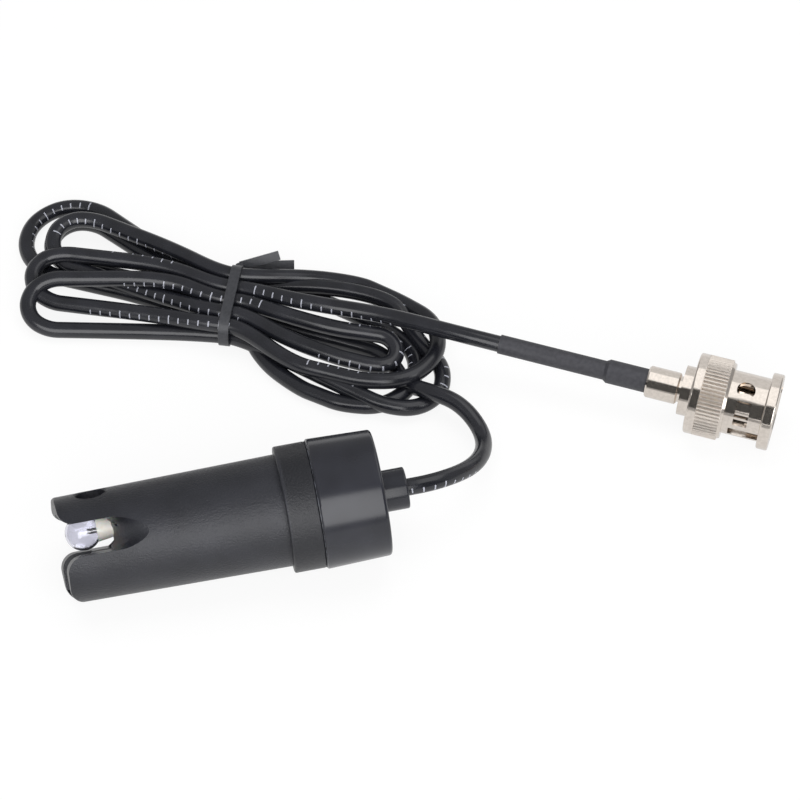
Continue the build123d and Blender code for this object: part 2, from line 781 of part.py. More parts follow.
# Coupling sleeve: grip, barrel with bayonet ways, front ring
barrel_radius = barrel_diameter / 2
grip_radius = grip_diameter / 2
front_ring_at = sleeve_end_at - front_ring_length
way_in = sleeve_radius - ramp_depth
way_out = sleeve_radius + ramp_depth


def ring_sector(inside, outside, start, sweep_turn):
    """A sector of a flat ring, from one angle on."""
    with BuildSketch() as sector:
        with BuildLine():
            CenterArc((0, 0), outside, start, sweep_turn)
            CenterArc((0, 0), inside, start, sweep_turn)
            for side in (radians(start), radians(start + sweep_turn)):
                Line((cos(side) * inside, sin(side) * inside), (cos(side) * outside, sin(side) * outside))
        make_face()
    return sector.sketch


with BuildPart() as coupling_sleeve:
    with BuildSketch(plug_lengthwise):
        with BuildLine():
            Polyline(
                (sleeve_at, journal_radius + sleeve_gap),
                (sleeve_at, grip_radius),
                (knurl_at, grip_radius),
                (knurl_at, grip_radius - knurl_depth),
                (knurl_end_at, grip_radius - knurl_depth),
                (knurl_end_at + grip_lip, grip_radius - knurl_depth - grip_lip_slope),
                (knurl_end_at + grip_lip, barrel_radius),
                (front_ring_at, barrel_radius),
                (front_ring_at, front_ring_diameter / 2),
                (sleeve_end_at, front_ring_diameter / 2),
                (sleeve_end_at, sleeve_radius + barrel_step),
                (sleeve_end_at - barrel_step, sleeve_radius),
                (flange_end_at, sleeve_radius),
                (flange_end_at, journal_radius + sleeve_gap),
                close=True,
            )
        make_face()
    revolve(axis=plug_axis)
    circles = coupling_sleeve.edges().filter_by(GeomType.CIRCLE)
    ring_edges = circles.filter_by(lambda e: abs(e.radius - front_ring_diameter / 2) < part_gap)
    back_edge = circles.filter_by(lambda e: abs(e.radius - grip_radius) < part_gap).sort_by(plug_axis)[0]
    fillet(ring_edges, front_ring_round)
    fillet(back_edge, grip_round)
    with BuildSketch(plug.offset(knurl_at)):
        Circle(grip_radius)
        Circle(sleeve_radius + knurl_depth, mode=Mode.SUBTRACT)
        with PolarLocations(grip_radius, knurl_teeth):
            Rectangle(knurl_depth * sqrt(2), knurl_depth * sqrt(2), rotation=45, mode=Mode.SUBTRACT)
    extrude(amount=knurl_length)
    # Two lock holes, each joined to its entry by a way inside the barrel, with a window over its ramp
    lock_place = plug.origin + plug.z_dir * lock_hole_at
    for lock_roll in (lock_hole_roll, lock_hole_roll + 180):
        outward = plug.y_dir * cos(radians(lock_roll)) - plug.x_dir * sin(radians(lock_roll))
        with BuildSketch(Plane(origin=lock_place, x_dir=plug.z_dir, z_dir=outward)):
            Circle(lock_hole_diameter / 2)
        extrude(amount=grip_radius, mode=Mode.SUBTRACT)
        with BuildSketch(plug.offset(lock_hole_at - ramp_width / 2)):
            add(ring_sector(way_in, way_out, 90 + lock_roll, ramp_turn))
        extrude(amount=ramp_width, mode=Mode.SUBTRACT)
        with BuildSketch(plug.offset(window_at)):
            add(ring_sector(way_in, grip_radius, 90 + lock_roll + window_start, window_turn))
        extrude(amount=window_width, mode=Mode.SUBTRACT)
    entry_turn = 90 + lock_hole_roll + ramp_turn
    with BuildSketch(plug.offset(entry_at)):
        with PolarLocations(barrel_radius, 2, start_angle=entry_turn):
            Rectangle(2 * (barrel_radius - way_in), entry_width)
    extrude(amount=front_ring_at - entry_at, mode=Mode.SUBTRACT)
    with BuildSketch(plug.offset(front_ring_at - part_gap)):
        with PolarLocations(barrel_radius - entry_skin, 2, start_angle=entry_turn):
            Rectangle(barrel_radius - way_in, entry_width, align=(Align.MAX, Align.CENTER))
    extrude(amount=front_ring_length + overrun, mode=Mode.SUBTRACT)
coupling_sleeve.part.label = "coupling_sleeve"

# Heat-shrink sleeve over the cable, its thick end inside the ferrule
shrink_front_at = shrink_grip
shrink_step_at = -shrink_step_from_plug
with BuildPart() as heat_shrink_sleeve:
    with BuildSketch(plug_lengthwise):
        with BuildLine():
            Polyline(
                (-shrink_length, cable_radius + part_gap),
                (-shrink_length, shrink_rear_diameter / 2),
                (shrink_step_at - shrink_step_run, shrink_rear_diameter / 2),
                (shrink_step_at, shrink_front_diameter / 2),
                (shrink_front_at, shrink_front_diameter / 2),
                (shrink_front_at, cable_radius + part_gap),
                close=True,
            )
        make_face()
    revolve(axis=plug_axis)
heat_shrink_sleeve.part.label = "heat_shrink_sleeve"

# Cable from the cap to the hank, and from the hank to the plug
probe_end_route = [
    on_electrode(0, 0, cable_start_at),
    on_electrode(0, 0, electrode_end_at + cable_lead_out),
    Vector(47.8, 6.3, 7.6),
    Vector(50.5, 17.5, 2.2),
    Vector(45.0, 28.6, 1.55),
    Vector(38.0, 33.5, 1.55),
]
cable_probe_end = tube_along(probe_end_route, cable_diameter)
cable_probe_end.part.label = "cable_probe_end"

plug_end_route = [
    Vector(12.0, 56.1, 7.0),
    Vector(22.6, 51.9, 7.7),
    Vector(37.5, 45.2, 7.9),
    plug.origin - plug.z_dir * plug_straight,
    plug.origin + plug.z_dir * stem_at,
]
cable_plug_end = tube_along(plug_end_route, cable_diameter)
cable_plug_end.part.label = "cable_plug_end"

# Hank: the shape of the coiled cable, two flat lobes pinched together under the tie
hank_outline = [
    (-32.0, 65.1), (-30.0, 80.5), (-24.1, 89.3), (-17.0, 88.9), (-8.8, 82.0), (1.0, 72.0),
    (10.0, 65.2), (21.5, 62.7), (31.1, 57.8), (41.0, 51.2), (46.8, 42.1), (46.6, 31.6),
    (42.4, 25.8), (36.5, 24.4), (26.9, 29.5), (17.0, 39.3), (6.2, 47.4), (-5.7, 51.3),
    (-17.9, 53.2), (-26.5, 57.0),
]
bundle_dir = Vector(cos(radians(tie_turn)), sin(radians(tie_turn)), 0)
bundle = Plane(
    origin=(tie_x, tie_y, waist_low),
    x_dir=bundle_dir.cross(Vector(0, 0, -1)),
    z_dir=bundle_dir,
)
waist_middle = waist_height / 2
with BuildPart() as cable_hank:
    with BuildSketch(Plane.XY):
        with BuildLine():
            FilletPolyline(*hank_outline, radius=outline_round, close=True)
        make_face()
    extrude(amount=lobe_height)
    fillet(cable_hank.faces().sort_by(Axis.Z)[-1].edges(), lobe_round)
    fillet(cable_hank.faces().sort_by(Axis.Z)[0].edges(), lobe_round)
    with BuildSketch(bundle.offset(-tie_window / 2)):
        Rectangle(2 * waist_width, 2 * lobe_height + 2 * waist_height)
    extrude(amount=tie_window, mode=Mode.SUBTRACT)
    with BuildSketch(bundle.offset(-waist_length / 2)):
        with Locations((0, waist_middle)):
            RectangleRounded(waist_width, waist_height, waist_round)
    extrude(amount=waist_length)
cable_hank.part.label = "cable_hank"

# Twist tie: a flat band round the waist, twisted behind it, and its two tails
twist_root = bundle.origin + bundle.y_dir * waist_middle + bundle.x_dir * (waist_width + tie_thickness) / 2
tail_root = twist_root + bundle.x_dir * tie_twist_length
tail_ends = [Vector(19.4, 65.3, 6.0), Vector(22.2, 64.7, 3.2)]
tail_rise = Vector(0, 0.6, 0.8)  # the way the tails' width points
with BuildPart() as twist_tie:
    with BuildSketch(bundle.offset(-tie_width / 2)):
        with Locations((0, waist_middle)):
            RectangleRounded(
                waist_width + 2 * tie_thickness,
                waist_height + 2 * tie_thickness,
                waist_round + tie_thickness,
            )
            RectangleRounded(waist_width, waist_height, waist_round, mode=Mode.SUBTRACT)
    extrude(amount=tie_width)
    with BuildSketch(Plane(origin=twist_root, z_dir=bundle.x_dir)):
        Circle(tie_twist_diameter / 2)
    extrude(amount=tie_twist_length)
    for tail_end in tail_ends:
        tail = tail_end - tail_root
        with BuildSketch(Plane(origin=tail_root, x_dir=tail, z_dir=tail.cross(tail_rise))):
            Rectangle(tail.length, tail_width, align=(Align.MIN, Align.CENTER))
        extrude(amount=tail_thickness / 2, both=True)
twist_tie.part.label = "twist_tie"

nodes = [
    guard_body, reference_junction, glass_bulb, seal_sleeve, buffer_gel, inner_wire, tube_stopper,
    reference_gel, reference_wire, partition_disc, partition_ring, potting, rear_cap, glue_bead,
    cable_clamp, core_lead, braid_lead, plug_body, cable_core, crimp_ferrule, outer_contact,
    plug_insulator, centre_pin, mating_gasket, retaining_ring, thrust_washer, wave_spring,
    coupling_sleeve, heat_shrink_sleeve, cable_probe_end, cable_plug_end, cable_hank, twist_tie,
]
for node in nodes:
    export_step(node.part, f"parts/{node.part.label}.step")
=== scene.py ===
import json
from math import cos, pi, radians, sin

import bpy
import numpy as np
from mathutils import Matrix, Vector


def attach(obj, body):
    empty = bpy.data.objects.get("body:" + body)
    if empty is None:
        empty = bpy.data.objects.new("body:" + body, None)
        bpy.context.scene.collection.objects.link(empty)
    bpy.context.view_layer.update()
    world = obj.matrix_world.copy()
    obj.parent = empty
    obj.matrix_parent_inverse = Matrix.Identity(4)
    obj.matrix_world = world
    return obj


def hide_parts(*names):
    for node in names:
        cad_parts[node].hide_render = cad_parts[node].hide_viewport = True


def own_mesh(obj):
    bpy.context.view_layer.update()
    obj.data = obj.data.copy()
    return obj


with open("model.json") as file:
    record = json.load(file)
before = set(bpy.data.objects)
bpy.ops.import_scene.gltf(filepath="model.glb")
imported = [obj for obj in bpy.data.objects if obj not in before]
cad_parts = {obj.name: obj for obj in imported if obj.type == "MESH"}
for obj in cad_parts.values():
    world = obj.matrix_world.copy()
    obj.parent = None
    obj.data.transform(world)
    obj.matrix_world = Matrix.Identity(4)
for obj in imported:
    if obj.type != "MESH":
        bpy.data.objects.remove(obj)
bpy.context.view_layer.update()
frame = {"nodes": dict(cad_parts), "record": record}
print("frame loaded with", len(frame["nodes"]), "nodes")

mm = 0.001
plugAxis = (0.88948, -0.45517, -0.040576)  # along the plug, towards its mouth

# Camera: a long lens a little above and to the left of the electrode
cameraSettings = {
    "azimuth": -11.0,  # degrees, 0 looks along +Y
    "elevation": 52.0,
    "lens": 144.0,  # mm
    "sensor": 36.0,  # mm wide
    "target": (36.7, 29.94, 0.0),  # mm
    "distance": 614.0,  # mm
}


def addObject(name, data):
    thing = bpy.data.objects.new(name, data)
    bpy.context.collection.objects.link(thing)
    return thing


def makeCamera():
    azimuth = radians(cameraSettings["azimuth"])
    elevation = radians(cameraSettings["elevation"])
    look = Vector((-sin(azimuth) * cos(elevation), cos(azimuth) * cos(elevation), -sin(elevation)))
    data = bpy.data.cameras.new("camera")
    data.lens = cameraSettings["lens"]
    data.sensor_width = cameraSettings["sensor"]
    camera = addObject("camera", data)
    camera.location = (Vector(cameraSettings["target"]) - look * cameraSettings["distance"]) * mm
    camera.rotation_euler = look.to_track_quat("-Z", "Y").to_euler()
    bpy.context.scene.camera = camera


makeCamera()
print("camera placed")


def linear(hexColour):
    # an sRGB hex value as the linear colour that sockets take
    values = [int(hexColour[k:k + 2], 16) / 255 for k in (0, 2, 4)]
    return [v / 12.92 if v <= 0.04045 else ((v + 0.055) / 1.055) ** 2.4 for v in values] + [1.0]


def addNode(tree, kind, inputs=None, out=0, **settings):
    # one node with its settings, each input set or linked, and the socket that it gives
    node = tree.nodes.new("ShaderNode" + kind)
    for name, value in settings.items():
        setattr(node, name, value)
    for key, value in (inputs or {}).items():
        if isinstance(value, bpy.types.NodeSocket):
            tree.links.new(value, node.inputs[key])
        else:
            node.inputs[key].default_value = value
    return node.outputs[out] if len(node.outputs) else None


def startMaterial(name):
    material = bpy.data.materials.new(name)
    material.use_nodes = True
    material.node_tree.nodes.clear()
    return material, material.node_tree


def surfaceGrain(tree, sizeMm, detail=2.0, roughness=0.5):
    # lumps about sizeMm across that stay on the piece, 0 to 1
    place = addNode(tree, "TexCoord", out="Object")
    return addNode(tree, "TexNoise", {
        "Vector": place, "Scale": 1 / (sizeMm * mm), "Detail": detail, "Roughness": roughness})


def mottle(tree, grain, low, high, dark, light):
    # dark up to the low value of the grain, light from the high one, even between them
    share = addNode(tree, "MapRange", {"Value": grain, "From Min": low, "From Max": high})
    return addNode(tree, "Mix", {"Factor": share, 6: linear(dark), 7: linear(light)}, 2, data_type="RGBA")


# Guard body: black ABS, moulded in an eroded tool, so its gloss breaks into fine sparkling grain.
# Its collar is given a darker colour than the body: painted shade for the weaker highlight there, with the
# same gloss and grain as the body.
bodySettings = {
    "grain": 0.32,  # mm, drawn coarser than the real 0.1 mm grain, so that it shows
    "grainDepth": 0.13,  # mm
    "cloud": 9.0,  # mm, the slow change of colour
    "dark": "1B1C21",
    "light": "25262C",
    # painted shade: the collar's darker colour stands in for its weaker highlight
    "collar": "17181D",
    "collarFrom": (9.2, 9.5),  # mm along X, where the collar's painted shade sets in
    "roughness": (0.28, 0.4),
    "ior": 1.5,
}


def grainedAbs():
    material, tree = startMaterial("blackAbsGrained")
    grain = surfaceGrain(tree, bodySettings["grain"], 3.0, 0.6)
    cloud = surfaceGrain(tree, bodySettings["cloud"])
    along = addNode(tree, "SeparateXYZ", {0: addNode(tree, "TexCoord", out="Object")}, "X")
    start, end = bodySettings["collarFrom"]
    # the collar's share, where its painted shade replaces the body's colour
    collar = addNode(tree, "MapRange", {"Value": along, "From Min": start * mm, "From Max": end * mm})
    colour = mottle(tree, cloud, 0.3, 0.7, bodySettings["dark"], bodySettings["light"])
    colour = addNode(tree, "Mix", {"Factor": collar, 6: colour, 7: linear(bodySettings["collar"])}, 2,
                     data_type="RGBA")
    low, high = bodySettings["roughness"]
    shader = addNode(tree, "BsdfPrincipled", {
        "Base Color": colour,
        "Roughness": addNode(tree, "MapRange", {"Value": grain, "To Min": low, "To Max": high}),
        "IOR": bodySettings["ior"],
        "Normal": addNode(tree, "Bump", {"Height": grain, "Distance": bodySettings["grainDepth"] * mm}),
    })
    addNode(tree, "OutputMaterial", {"Surface": shader})
    return material


# Rear cap: black ABS from a polished tool, semi-gloss, with faint flow waves
capSettings = {
    "wave": 6.0,  # mm
    "waveDepth": 0.04,  # mm
    "dust": 0.35,  # mm, the change of gloss
    "dark": "1E1F25",
    "light": "25262D",
    "roughness": (0.16, 0.24),
    "ior": 1.54,
}


def smoothAbs():
    material, tree = startMaterial("blackAbsSmooth")
    wave = surfaceGrain(tree, capSettings["wave"], 1.0)
    dust = surfaceGrain(tree, capSettings["dust"])
    low, high = capSettings["roughness"]
    shader = addNode(tree, "BsdfPrincipled", {
        "Base Color": mottle(tree, wave, 0.3, 0.7, capSettings["dark"], capSettings["light"]),
        "Roughness": addNode(tree, "MapRange", {"Value": dust, "To Min": low, "To Max": high}),
        "IOR": capSettings["ior"],
        "Normal": addNode(tree, "Bump", {
            "Height": wave, "Distance": capSettings["waveDepth"] * mm, "Strength": 0.2}),
    })
    addNode(tree, "OutputMaterial", {"Surface": shader})
    return material


# Clear materials, by slot. Faint streaks bend what shows through them.
clearSettings = {
    # blown glass: bright, with a thin rim of the floor's white
    "lab_glass": {"name": "blownGlass", "tint": "F4F4FF", "ior": 1.5, "roughness": 0.0},
    # wet gel: like water, only seen in the glass
    "clear_gel": {"name": "wetGel", "tint": "FAFAF6", "ior": 1.34, "roughness": 0.05},
}


def clearMaterial(values, streakMm=2.5, depthMm=0.01):
    material, tree = startMaterial(values["name"])
    streak = surfaceGrain(tree, streakMm)
    shader = addNode(tree, "BsdfPrincipled", {
        "Base Color": linear(values["tint"]), "Roughness": values["roughness"], "IOR": values["ior"],
        "Transmission Weight": 1.0,
        "Normal": addNode(tree, "Bump", {"Height": streak, "Distance": depthMm * mm, "Strength": 0.1}),
    })
    addNode(tree, "OutputMaterial", {"Surface": shader})
    return material


# Plain materials, by slot: colours, roughness, and grain size and depth in mm
plainSettings = {
    # cast resin: glossy black, a little wavy
    "black_epoxy": {"name": "castEpoxy", "dark": "0C0C0D", "light": "131314", "roughness": 0.2,
                    "grain": 2.0, "depth": 0.02},
    # turned PVC: even grey, dull
    "grey_plastic": {"name": "turnedPvc", "dark": "6C6C6E", "light": "787879", "roughness": 0.45,
                     "grain": 0.4, "depth": 0.02},
    # cast silicone: cream, soft edges, since light passes into it
    "cream_silicone": {"name": "castSilicone", "dark": "F8EFE6", "light": "FEF8F1", "roughness": 0.38,
                       "grain": 0.8, "depth": 0.02, "ior": 1.41,
                       "more": {"Subsurface Weight": 0.25, "Subsurface Scale": 0.001}},
    # moulded nitrile rubber: deep black, dull
    "nitrile_rubber": {"name": "mouldedNitrile", "dark": "0A0A0A", "light": "141414", "roughness": 0.5,
                       "grain": 0.4, "depth": 0.02},
    # sintered ceramic: dark, chalky
    "porous_ceramic": {"name": "sinteredCeramic", "dark": "4A4845", "light": "5A5753", "roughness": 0.8,
                       "grain": 0.2, "depth": 0.05},
    # drawn silver: pale metal with a soft shine
    "silver_wire": {"name": "drawnSilver", "dark": "B9B9B4", "light": "CFCFCA", "roughness": 0.3,
                    "grain": 0.2, "depth": 0.01, "metal": True},
    # tinned copper: greyer than silver
    "tinned_copper": {"name": "tinnedCopper", "dark": "B5B1A8", "light": "C9C5BD", "roughness": 0.3,
                      "grain": 0.2, "depth": 0.01, "metal": True},
    # set glue: a patchy grey line
    "clear_glue": {"name": "setGlue", "dark": "1A1B1F", "light": "50525A", "roughness": 0.3,
                   "grain": 0.9, "depth": 0.05},
    # plated gold: warm and mirror bright
    "gilt_brass": {"name": "platedGold", "dark": "DDB35C", "light": "E8C374", "roughness": 0.16,
                   "grain": 0.6, "depth": 0.006, "metal": True},
    # ground spring steel: grey, half bright
    "spring_steel": {"name": "groundSteel", "dark": "A3A19E", "light": "B4B2AF", "roughness": 0.25,
                     "grain": 0.4, "depth": 0.01, "metal": True},
    # turned PTFE: waxy white
    "white_ptfe": {"name": "turnedPtfe", "dark": "E6E5E1", "light": "F1F0ED", "roughness": 0.45,
                   "grain": 0.4, "depth": 0.01, "ior": 1.38},
    # extruded polythene: milky white
    "core_plastic": {"name": "polytheneCore", "dark": "D8D8D4", "light": "E4E4E0", "roughness": 0.4,
                     "grain": 0.5, "depth": 0.01},
    # shrunk polyolefin: lighter and duller than the cable, finely wrinkled
    "heat_shrink_black": {"name": "shrunkPolyolefin", "dark": "2C2C31", "light": "36363B",
                          "roughness": 0.5, "grain": 0.7, "depth": 0.05},
    # extruded tie band: dark grey, satin
    "tie_black": {"name": "tieBand", "dark": "303135", "light": "393A3E", "roughness": 0.42,
                  "grain": 0.5, "depth": 0.02},
}


def plainMaterial(values):
    material, tree = startMaterial(values["name"])
    grain = surfaceGrain(tree, values["grain"], 3.0)
    low, high = values["roughness"] * 0.85, values["roughness"] * 1.15
    kind = {"Metallic": 1.0} if values.get("metal") else {"IOR": values.get("ior", 1.5)}
    shader = addNode(tree, "BsdfPrincipled", {
        "Base Color": mottle(tree, grain, 0.35, 0.65, values["dark"], values["light"]),
        "Roughness": addNode(tree, "MapRange", {"Value": grain, "To Min": low, "To Max": high}),
        "Normal": addNode(tree, "Bump", {
            "Height": grain, "Distance": values["depth"] * mm, "Strength": 0.4}),
        **kind, **values.get("more", {}),
    })
    addNode(tree, "OutputMaterial", {"Surface": shader})
    return material


# Plated nickel: mirror bright on turned faces. The knurl was rolled, which leaves its teeth satin.
nickelSettings = {
    "knurl": (74.7, 79.4),  # mm along the plug's axis
    "dark": "DCD3CA",
    "light": "E6DDD4",
    "grain": 0.6,  # mm
    "grainDepth": 0.006,  # mm
    "roughness": (0.11, 0.14),
    "knurlRoughness": 0.42,
}


def platedNickel():
    material, tree = startMaterial("platedNickel")
    grain = surfaceGrain(tree, nickelSettings["grain"], 3.0)
    along = addNode(tree, "VectorMath", {0: addNode(tree, "TexCoord", out="Object"), 1: plugAxis}, "Value",
                    operation="DOT_PRODUCT")
    start, end = [value * mm for value in nickelSettings["knurl"]]
    inKnurl = addNode(tree, "Math", {0: along, 1: (start + end) / 2, 2: (end - start) / 2},
                      operation="COMPARE")
    low, high = nickelSettings["roughness"]
    turned = addNode(tree, "MapRange", {"Value": grain, "To Min": low, "To Max": high})
    shader = addNode(tree, "BsdfPrincipled", {
        "Base Color": mottle(tree, grain, 0.35, 0.65, nickelSettings["dark"], nickelSettings["light"]),
        "Roughness": addNode(tree, "MapRange", {
            "Value": inKnurl, "To Min": turned, "To Max": nickelSettings["knurlRoughness"]}),
        "Normal": addNode(tree, "Bump", {
            "Height": grain, "Distance": nickelSettings["grainDepth"] * mm, "Strength": 0.4}),
        "Metallic": 1.0,
    })
    addNode(tree, "OutputMaterial", {"Surface": shader})
    return material


# Cable jacket: extruded PVC, near black and glossy, with faint waves from the die
# and plain printed length ticks, every fifth one longer
jacketSettings = {
    "wave": 4.0,  # mm
    "waveDepth": 0.15,  # mm
    "dark": "17181D",
    "light": "1F2026",
    "print": "A2A4AE",
    "roughness": (0.16, 0.28),
    "ior": 1.58,
    "tickEvery": 2.0,  # mm
    "tickWidth": 0.25,  # mm
    "groupEvery": 46.0,  # mm, the print runs in groups
    "groupLength": 28.52,  # mm
    "tickReach": 0.055,  # share of the way round, each side of the print's middle
    "longReach": 0.035,
}


def cableJacket():
    material, tree = startMaterial("pvcJacket")
    wave = surfaceGrain(tree, jacketSettings["wave"], 1.0)
    # mm along the cord, and turns from the print's middle
    along, around = [addNode(tree, "SeparateXYZ", {0: addNode(tree, "TexCoord", out="UV")}, side)
                     for side in ("X", "Y")]

    def inStep(every, length):
        # 1 over the first length of every step along the cord
        step = addNode(tree, "Math", {0: along, 1: every}, operation="FLOORED_MODULO")
        return addNode(tree, "Math", {0: step, 1: length}, operation="LESS_THAN")

    every, width = jacketSettings["tickEvery"], jacketSettings["tickWidth"]
    group = inStep(jacketSettings["groupEvery"], jacketSettings["groupLength"])
    tick = addNode(tree, "Math", {0: inStep(every, width), 1: group}, operation="MULTIPLY")
    reach = addNode(tree, "Math", {
        0: inStep(5 * every, width), 1: jacketSettings["longReach"], 2: jacketSettings["tickReach"],
    }, operation="MULTIPLY_ADD")
    off = addNode(tree, "Math", {0: around, 1: 0.5, 2: -0.5}, operation="WRAP")
    across = addNode(tree, "Math", {0: off, 1: 0.0, 2: reach}, operation="COMPARE")
    printed = addNode(tree, "Math", {0: tick, 1: across}, operation="MULTIPLY")
    colour = mottle(tree, wave, 0.3, 0.7, jacketSettings["dark"], jacketSettings["light"])
    colour = addNode(tree, "Mix", {"Factor": printed, 6: colour, 7: linear(jacketSettings["print"])}, 2,
                     data_type="RGBA")
    low, high = jacketSettings["roughness"]
    shader = addNode(tree, "BsdfPrincipled", {
        "Base Color": colour,
        "Roughness": addNode(tree, "MapRange", {"Value": wave, "To Min": low, "To Max": high}),
        "IOR": jacketSettings["ior"],
        "Normal": addNode(tree, "Bump", {
            "Height": wave, "Distance": jacketSettings["waveDepth"] * mm, "Strength": 0.3}),
    })
    addNode(tree, "OutputMaterial", {"Surface": shader})
    return material


materials = {
    "black_abs_grained": grainedAbs(),
    "black_abs_smooth": smoothAbs(),
    "nickel_brass": platedNickel(),
    "black_cable": cableJacket(),
    **{slot: clearMaterial(values) for slot, values in clearSettings.items()},
    **{slot: plainMaterial(values) for slot, values in plainSettings.items()},
}
for part in frame["record"]["subparts"]:
    mesh = frame["nodes"][part["node"]].data
    mesh.materials.clear()
    mesh.materials.append(materials[part["material_slot"]])
print("materials made:", len(materials))


def makeSpring():
    spring = addObject("waveSpring", frame["nodes"]["wave_spring"].data.copy())
    places = np.empty(len(spring.data.vertices) * 3)
    spring.data.vertices.foreach_get("co", places)
    places = places.reshape(-1, 3)
    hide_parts("wave_spring")
    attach(spring, "electrode_cord_and_plug")
    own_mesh(spring)
    return spring


waveSpring = makeSpring()

# Cord: one line from the cap through the hank to the plug. Every place is in millimetres.
cordSettings = {
    "diameter": 3.2,
    "sides": 18,
    "stepsPerPoint": 10,
    "exit": (32.1, 0.0, 12.82),  # the end of the cap's boss
    "tie": (8.3, 56.1),  # middle of the tie on the table
    "tieTurn": -19.4,  # degrees about Z, along the bundle
    "rowHeight": {"low": 2.4, "top": 5.6},  # the strands pass the tie in two rows
    "halfTie": 3.2,  # the strands run side by side this far each way from the tie's middle
    "roundShare": 0.925,  # how much of its control points' circle the line reaches
    "printMiddle": 30.0,  # degrees from the top, towards the right of the way it runs
    "printSwing": 110.0,
    "printEvery": 230.0,  # mm from one side of the swing to the same side again
}
probeRoute = [
    (18.82, 0.0, 12.19), (28.8, 0.0, 12.66), (38.6, 0.0, 13.13), (47.2, 6.5, 7.6), (50.6, 15.9, 2.8),
    (47.3, 22.9, 5.2), (41.5, 27.4, 5.0), (38.2, 31.8, 1.9), (36.0, 40.3, 1.65), (27.4, 45.3, 1.65),
    (18.2, 50.0, 1.8),
]
plugRoute = [
    (22.4, 51.0, 7.6), (36.8, 44.8, 8.0), (48.5, 36.4, 9.9), (57.4, 31.84, 9.49), (83.9, 18.28, 8.285),
]

# The hank's turns in (along, across, height) from the tie's middle, where across grows away from the
# viewer. Each goes out along a run, round its middle clockwise, and comes back in another place.
hankTurns = [
    {"name": "left inner low", "ties": ((0.0, "low"), (3.2, "low")), "out": [(-14, 5.0, 1.65)],
     "middle": (-32.8, 13.0), "radius": 5.7, "heights": (1.65, 1.65, 1.65), "back": [(-13, 8.4, 1.65)]},
    {"name": "right under", "ties": ((3.2, "low"), (-3.2, "low")), "out": [(15, 6.5, 1.65)],
     "middle": (28.2, -9.6), "radius": 9.4, "heights": (1.65, 1.65, 1.65),
     "back": [(16, -16.4, 1.65), (8, -11.0, 1.65)]},
    {"name": "left outer", "ties": ((-3.2, "low"), (6.4, "low")), "out": [(-17, 1.5, 1.65)],
     "middle": (-34.8, 13.4), "radius": 8.9, "heights": (1.65, 1.65, 2.0), "back": [(-17.5, 13.0, 3.0)]},
    {"name": "right outer", "ties": ((6.4, "low"), (-6.4, "low")), "out": [(18, 7.2, 4.6), (31, 5.4, 4.6)],
     "middle": (35.5, -11.3), "radius": 7.6, "heights": (2.6, 1.65, 2.6), "back": [(18, -13.8, 3.8)]},
    {"name": "left front", "ties": ((-6.4, "low"), (0.0, "top")), "out": [(-14, -6.8, 1.65)],
     "middle": (-35.0, -4.6), "radius": 4.4, "heights": (1.65, 3.5, 5.8), "back": [(-12.8, 3.2, 6.2)]},
    {"name": "right inner", "ties": ((0.0, "top"), (-3.2, "top")), "out": [(11, -2.4, 6.0), (21, -4.4, 6.0)],
     "middle": (30.2, -7.7), "radius": 3.4, "heights": (5.2, 4.4, 4.6),
     "back": [(22, -10.4, 5.0), (12, -7.6, 5.4)]},
    {"name": "left inner top", "ties": ((-3.2, "top"), (6.4, "top")), "out": [(-15, 1.0, 3.2)],
     "middle": (-32.3, 11.6), "radius": 5.5, "heights": (3.2, 4.6, 4.6), "back": [(-14, 11.8, 4.8)]},
    {"name": "right top", "ties": ((6.4, "top"), (-6.4, "top")), "out": [(14, 9.2, 4.2), (24, 9.2, 3.8)],
     "middle": (31.1, -4.8), "radius": 10.1, "heights": (3.4, 4.8, 4.8), "back": [(14, -13.2, 4.8)]},
    {"name": "left middle", "ties": ((-6.4, "top"), (3.2, "top")), "out": [(-15, -4.8, 4.4)],
     "middle": (-34.9, 1.9), "radius": 4.9, "heights": (2.8, 4.6, 5.2), "back": [(-14, 6.6, 6.0)]},
]


def hankPlace(along, across, height):
    # a place in the hank's own directions as a place on the table
    turn = radians(cordSettings["tieTurn"])
    x, y = cordSettings["tie"]
    return np.array([
        x + along * cos(turn) - across * sin(turn),
        y + along * sin(turn) + across * cos(turn),
        height,
    ])


def tiePlace(across, row, along):
    return hankPlace(along, across, cordSettings["rowHeight"][row])


def turnPoints(turn, steps=(-90, -45, 0, 45, 90)):
    # out of the tie, along the run, clockwise round the middle, back along the other run, into the tie
    along, across = turn["middle"]
    start = np.arctan2(across, along)
    half = cordSettings["halfTie"] * np.sign(along)
    first, last = [tiePlace(a, row, half) for a, row in turn["ties"]]
    heights = np.interp(steps, [-90, 0, 90], turn["heights"])
    rim = turn["radius"] / cordSettings["roundShare"]
    turns = start - np.radians(steps)
    bend = [hankPlace(*place)
            for place in zip(along + rim * np.cos(turns), across + rim * np.sin(turns), heights)]
    out = [hankPlace(*place) for place in turn["out"]]
    back = [hankPlace(*place) for place in turn["back"]]
    # one more point each side keeps the bend even: as far off as the circle's own points are apart,
    # but never past halfway to the run
    step = rim * 2 * sin(radians(steps[1] - steps[0]) / 2)
    before, after = [end + (run - end) * min(step / np.linalg.norm(run - end), 0.5)
                     for end, run in ((bend[0], out[-1]), (bend[-1], back[0]))]
    return [first, *out, before, *bend, after, *back, last]


def cordPoints():
    points = [np.array(place) for place in probeRoute] + [tiePlace(0.0, "low", cordSettings["halfTie"])]
    for turn in hankTurns:
        points += turnPoints(turn)
    return points + [tiePlace(3.2, "top", cordSettings["halfTie"])] + [np.array(place) for place in plugRoute]


